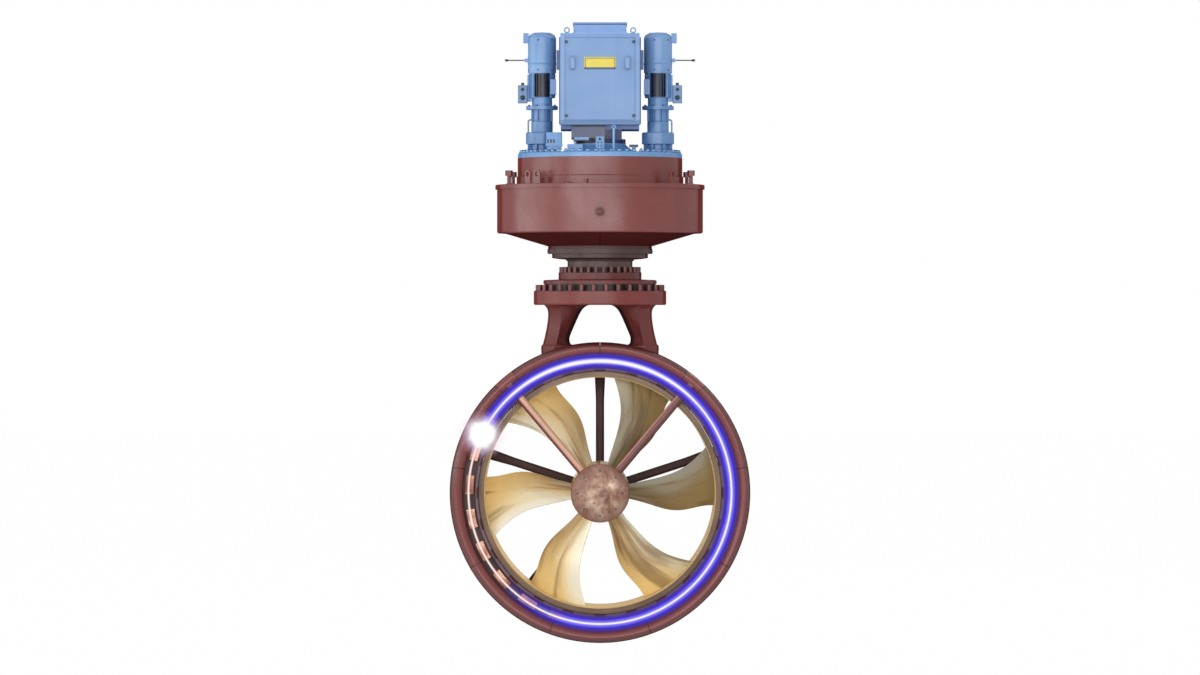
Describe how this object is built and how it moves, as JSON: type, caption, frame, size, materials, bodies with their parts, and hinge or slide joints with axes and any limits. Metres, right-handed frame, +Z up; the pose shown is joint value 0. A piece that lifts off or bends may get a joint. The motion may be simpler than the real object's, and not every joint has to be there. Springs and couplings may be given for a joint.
{
  "type": "rim drive thruster",
  "caption": "Steerable rim drive thruster: ducted rim driven propeller on a two legged frame under a slewing column.",
  "frame": {"origin": "on the azimuth axis at the underside of the mounting flange", "axes": "+Z up along the azimuth axis, -Y out of the duct's front, +X to the right seen from the front"},
  "size_m": [2.06, 1.4539, 4.256],
  "materials": {
    "red_paint": "satin marine paint",
    "dark_red_paint": "satin marine paint",
    "grey_brown_paint": "satin paint",
    "blue_paint": "satin machine paint",
    "grey_paint": "satin paint",
    "steel": "machined",
    "bronze": "cast and polished",
    "laminations": "varnished laminations",
    "magnets": "coated magnet",
    "copper": "wound copper",
    "black_plastic": "moulded"
  },
  "bodies": {
    "hull_unit": {"well_drum": "red_paint", "mounting_flange": "red_paint", "drum_plug": "red_paint", "steering_housing": "red_paint", "deck_plate": "blue_paint", "deck_nuts": "blue_paint", "jacking_posts": "red_paint", "lifting_lugs": "red_paint", "slewing_outer_race": "steel", "trunk_seal": "dark_red_paint", "deck_cover": "blue_paint", "pedestal": "grey_paint", "cabinet_body": "blue_paint", "roof_vent": "blue_paint", "cabinet_fittings": "grey_paint", "slip_ring_housing": "grey_paint", "terminal_boxes": "grey_paint", "lubricator": "blue_paint", "instrument_bracket": "blue_paint", "oil_manifold": "grey_paint", "dipstick_tube": "blue_paint", "breather_pipes": "steel", "motor_left": "blue_paint", "motor_right": "blue_paint", "cowl_left": "blue_paint", "cowl_right": "blue_paint", "control_box_left": "grey_paint", "control_box_right": "grey_paint", "gearbox_left": "blue_paint", "gearbox_right": "blue_paint"},
    "azimuth_unit": {"slewing_gear_ring": "steel", "trunk": "steel", "column": "grey_brown_paint", "column_bolts": "red_paint", "strut_frame": "red_paint", "duct_segments": "red_paint", "stator_core": "laminations", "stator_coils": "copper", "stator_can": "red_paint", "outlet_ring": "red_paint", "front_spider": "red_paint", "hub_cap": "red_paint", "rear_spider": "dark_red_paint", "axle": "steel", "axle_bushes": "bronze"},
    "propeller": {"rotor_rim": "bronze", "rotor_magnets": "magnets", "propeller_blades": "bronze", "propeller_hub": "bronze"},
    "pinion_left": {"pinion_left": "steel"},
    "motor_rotor_left": {"motor_rotor_left": "steel"},
    "brake_lever_left": {"brake_lever_left": "steel"},
    "stop_button_left": {"stop_button_left": "black_plastic"},
    "pinion_right": {"pinion_right": "steel"},
    "motor_rotor_right": {"motor_rotor_right": "steel"},
    "brake_lever_right": {"brake_lever_right": "steel"},
    "stop_button_right": {"stop_button_right": "black_plastic"},
    "cabinet_cover": {"cabinet_cover": "blue_paint", "cover_fittings": "black_plastic"},
    "dipstick": {"dipstick": "steel"}
  },
  "joints": [
    {"name": "azimuth", "type": "hinge", "parent": "hull_unit", "child": "azimuth_unit", "pos_m": [0, 0, 0], "axis": [0, 0, 1], "continuous": true},
    {"name": "propeller_spin", "type": "hinge", "parent": "azimuth_unit", "child": "propeller", "pos_m": [0, 0, -2.083], "axis": [0, 1, 0], "continuous": true},
    {"name": "pinion_left_spin", "type": "hinge", "parent": "hull_unit", "child": "pinion_left", "pos_m": [-0.4, 0, 0.13], "axis": [0, 0, 1], "continuous": true},
    {"name": "motor_left_spin", "type": "hinge", "parent": "hull_unit", "child": "motor_rotor_left", "pos_m": [-0.4, 0, 0.7], "axis": [0, 0, 1], "continuous": true},
    {"name": "brake_release_left", "type": "hinge", "parent": "hull_unit", "child": "brake_lever_left", "pos_m": [-0.511, 0, 0.891], "axis": [0, 1, 0], "range_deg": [0, 12], "stiffness_Nm_per_rad": 8},
    {"name": "stop_left_press", "type": "slide", "parent": "hull_unit", "child": "stop_button_left", "axis": [0, 1, 0], "range_m": [0, 0.005], "stiffness_N_per_m": 600},
    {"name": "pinion_right_spin", "type": "hinge", "parent": "hull_unit", "child": "pinion_right", "pos_m": [0.4, 0, 0.13], "axis": [0, 0, 1], "continuous": true},
    {"name": "motor_right_spin", "type": "hinge", "parent": "hull_unit", "child": "motor_rotor_right", "pos_m": [0.4, 0, 0.7], "axis": [0, 0, 1], "continuous": true},
    {"name": "brake_release_right", "type": "hinge", "parent": "hull_unit", "child": "brake_lever_right", "pos_m": [0.511, 0, 0.891], "axis": [0, -1, 0], "range_deg": [0, 12], "stiffness_Nm_per_rad": 8},
    {"name": "stop_right_press", "type": "slide", "parent": "hull_unit", "child": "stop_button_right", "axis": [0, 1, 0], "range_m": [0, 0.005], "stiffness_N_per_m": 600},
    {"name": "cover_pull", "type": "slide", "parent": "hull_unit", "child": "cabinet_cover", "axis": [0, -1, 0], "range_m": [0, 0.3]},
    {"name": "dipstick_pull", "type": "slide", "parent": "hull_unit", "child": "dipstick", "axis": [0, 0, 1], "range_m": [0, 0.13]}
  ],
  "couplings": [
    {"joint": "pinion_left_spin", "follows": "azimuth", "ratio": 6},
    {"joint": "motor_left_spin", "follows": "azimuth", "ratio": 96},
    {"joint": "pinion_right_spin", "follows": "azimuth", "ratio": 6},
    {"joint": "motor_right_spin", "follows": "azimuth", "ratio": 96}
  ]
}
